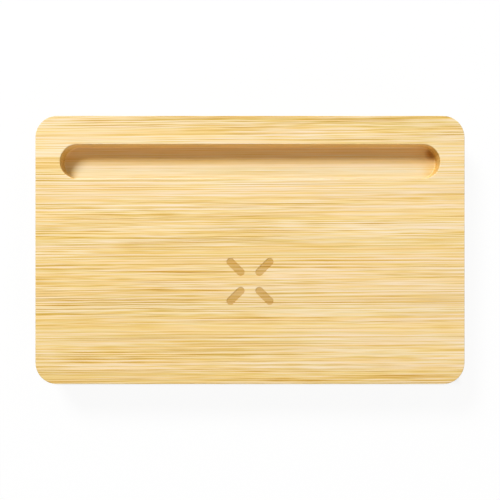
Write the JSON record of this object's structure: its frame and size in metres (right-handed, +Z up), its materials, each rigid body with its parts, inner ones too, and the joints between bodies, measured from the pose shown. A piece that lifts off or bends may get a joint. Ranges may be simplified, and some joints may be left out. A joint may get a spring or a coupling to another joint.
{
  "type": "charging station organizer",
  "caption": "Bamboo desk slab with a long rear slot that props a phone or tablet and a marked wireless charging spot, with the charger in its underside and a power inlet in its rear edge.",
  "frame": {"origin": "middle of the footprint, on the surface that the feet stand on", "axes": "+X left to right along the slot, +Y from the front edge to the rear edge with the inlet, +Z up"},
  "size_m": [0.2, 0.125, 0.0195],
  "materials": {
    "bamboo": "sanded and oiled, satin",
    "cover_plastic": "fine moulded texture",
    "foot_rubber": "matt",
    "foot_tape": "matt foam tape",
    "screw_steel": "zinc plated",
    "board_laminate": "solder mask, satin",
    "inlet_steel": "drawn and nickel plated",
    "inlet_plastic": "moulded",
    "contact_gold": "gold plated",
    "light_pipe_clear": "clear moulded",
    "led_white": "moulded",
    "coil_copper": "enamelled bundled wire",
    "solder": "bright solder",
    "ferrite": "sintered, matt",
    "coil_tape": "translucent tape",
    "silicone": "soft, matt",
    "chip_resin": "moulded resin",
    "choke_powder": "pressed powder",
    "capacitor_ceramic": "fired, satin",
    "resistor_film": "glazed"
  },
  "bodies": {
    "root": {"bamboo_body": "bamboo", "bottom_cover": "cover_plastic", "cover_screws": "screw_steel", "foot_front_left": "foot_rubber", "foot_front_right": "foot_rubber", "foot_rear_left": "foot_rubber", "foot_rear_right": "foot_rubber", "foot_adhesives": "foot_tape", "circuit_board": "board_laminate", "board_screws": "screw_steel", "inlet_shell": "inlet_steel", "inlet_tongue": "inlet_plastic", "inlet_contacts": "contact_gold", "light_pipe": "light_pipe_clear", "status_led": "led_white", "transmit_coil": "coil_copper", "lead_solder": "solder", "ferrite_shield": "ferrite", "coil_tape": "coil_tape", "silicone_pad": "silicone", "controller_chip": "chip_resin", "bridge_transistors": "chip_resin", "regulator_chip": "chip_resin", "input_inductor": "choke_powder", "resonant_capacitors": "capacitor_ceramic", "bulk_capacitors": "capacitor_ceramic", "chip_capacitors": "capacitor_ceramic", "sense_resistor": "resistor_film", "chip_resistors": "resistor_film"}
  },
  "joints": []
}
